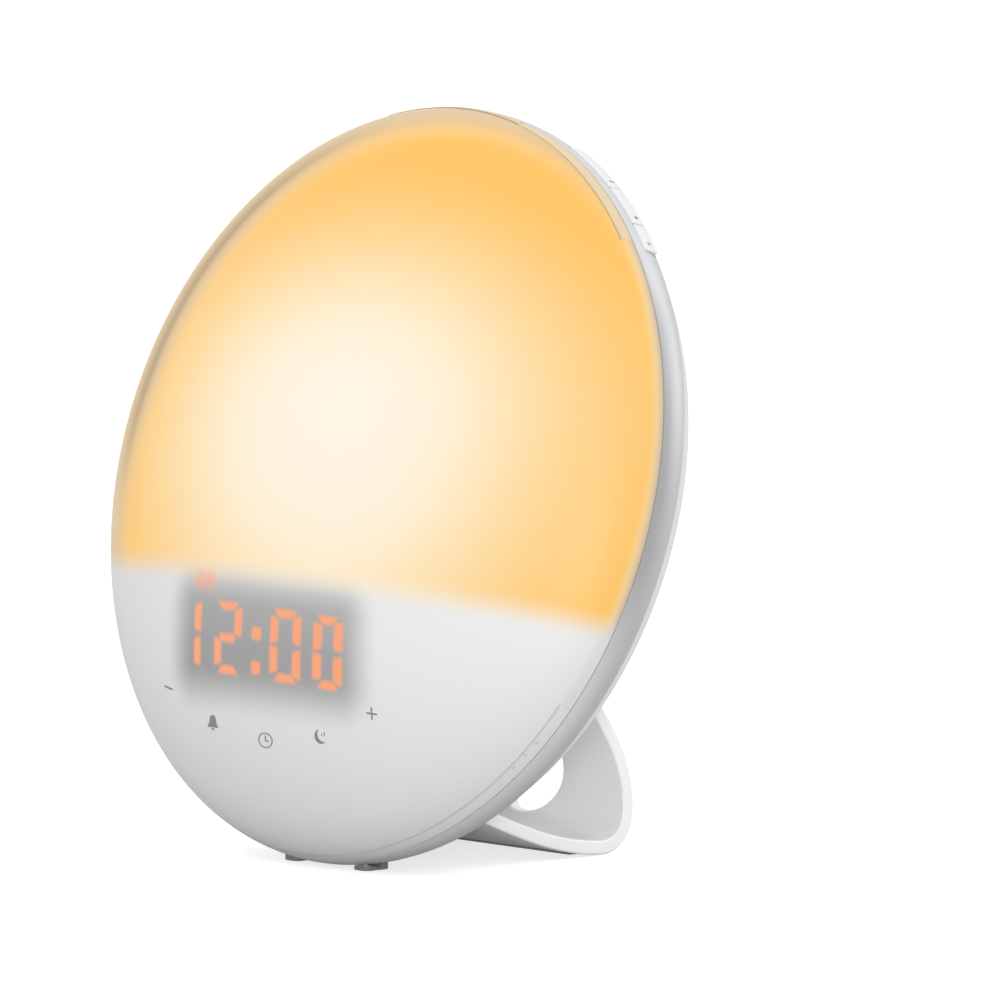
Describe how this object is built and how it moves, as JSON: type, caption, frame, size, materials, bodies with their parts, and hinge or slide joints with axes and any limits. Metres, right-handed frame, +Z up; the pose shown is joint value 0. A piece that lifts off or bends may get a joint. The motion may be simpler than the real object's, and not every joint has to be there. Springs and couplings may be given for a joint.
{
  "type": "sunrise alarm clock",
  "caption": "Round wake-up light alarm clock with a milky domed face, glowing upper half, digit display, silver band, edge keys and a loop stand.",
  "frame": {"origin": "on the table under the middle of the object's box", "axes": "+Z up, -Y where the face looks, +X to the side that carries the side keys"},
  "size_m": [0.1752, 0.0872, 0.1705],
  "materials": {
    "milky_lens": "milky gloss plastic, lit from behind",
    "warm_trim": "satin pale beige plastic",
    "grey_trim": "satin light grey plastic",
    "silver": "satin silver paint",
    "key_white": "satin pale lavender white plastic",
    "white_case": "glossy white plastic",
    "stand_white": "glossy white plastic",
    "frame_white": "matt white plastic",
    "reflector_white": "matt white plastic",
    "black_plastic": "matt black plastic",
    "board_white": "white solder mask",
    "board_green": "green solder mask",
    "led_amber": "amber phosphor under clear resin",
    "display_grey": "dark grey resin face",
    "segment_orange": "lit orange bars",
    "spring_steel": "bright spring steel",
    "switch_black": "matt black plastic",
    "chip_black": "matt black resin",
    "can_aluminium": "bare aluminium can",
    "crystal_can": "plated can",
    "socket_white": "off-white nylon",
    "cable_white": "white flat cable",
    "basket_steel": "black painted steel",
    "cone_paper": "black paper",
    "magnet_grey": "dark grey ferrite",
    "foam_black": "black closed foam",
    "cell_steel": "bright steel",
    "jack_black": "black plastic",
    "screw_steel": "zinc plated steel",
    "foot_rubber": "dark grey rubber"
  },
  "bodies": {
    "clock": {"front_lens": "milky_lens", "upper_trim": "warm_trim", "lower_trim": "grey_trim", "silver_band": "silver", "rear_cover": "white_case", "loop_stand": "stand_white", "stand_pad": "foot_rubber", "front_feet": "foot_rubber", "inner_frame": "frame_white", "led_board": "board_white", "led_chips": "led_amber", "reflector_tray": "reflector_white", "light_divider": "reflector_white", "display_housing": "black_plastic", "display_board": "board_green", "display_module": "display_grey", "display_segments": "segment_orange", "touch_board": "board_green", "touch_springs": "spring_steel", "key_switches": "switch_black", "key_board": "board_green", "snooze_board": "board_green", "snooze_switch": "switch_black", "main_board": "board_green", "board_chips": "chip_black", "capacitors": "can_aluminium", "clock_crystal": "crystal_can", "board_sockets": "socket_white", "flat_cable": "cable_white", "speaker_frame": "basket_steel", "speaker_cone": "cone_paper", "speaker_magnet": "magnet_grey", "speaker_gasket": "foam_black", "battery_tray": "black_plastic", "coin_cell": "cell_steel", "battery_contacts": "spring_steel", "dc_jack": "jack_black", "case_screws": "screw_steel", "board_screws": "screw_steel", "speaker_screws": "screw_steel", "stand_screws": "screw_steel"},
    "snooze": {"snooze_key": "warm_trim"},
    "side_key_top": {"side_key_1": "key_white"},
    "side_key_middle": {"side_key_2": "key_white"},
    "side_key_bottom": {"side_key_3": "key_white"},
    "battery_cover": {"battery_door": "white_case"}
  },
  "joints": [
    {"name": "snooze_press", "type": "slide", "parent": "clock", "child": "snooze", "axis": [0, -0.2656, -0.9641], "range_m": [0, 0.0005], "stiffness_N_per_m": 1500},
    {"name": "side_key_top_press", "type": "slide", "parent": "clock", "child": "side_key_top", "axis": [-0.484, -0.2324, -0.8436], "range_m": [0, 0.0005], "stiffness_N_per_m": 1500},
    {"name": "side_key_middle_press", "type": "slide", "parent": "clock", "child": "side_key_middle", "axis": [-0.628, -0.2067, -0.7503], "range_m": [0, 0.0005], "stiffness_N_per_m": 1500},
    {"name": "side_key_bottom_press", "type": "slide", "parent": "clock", "child": "side_key_bottom", "axis": [-0.7157, -0.1855, -0.6733], "range_m": [0, 0.0005], "stiffness_N_per_m": 1500},
    {"name": "battery_cover_lift", "type": "slide", "parent": "clock", "child": "battery_cover", "axis": [0, 0.9641, -0.2656], "range_m": [0, 0.02]}
  ]
}
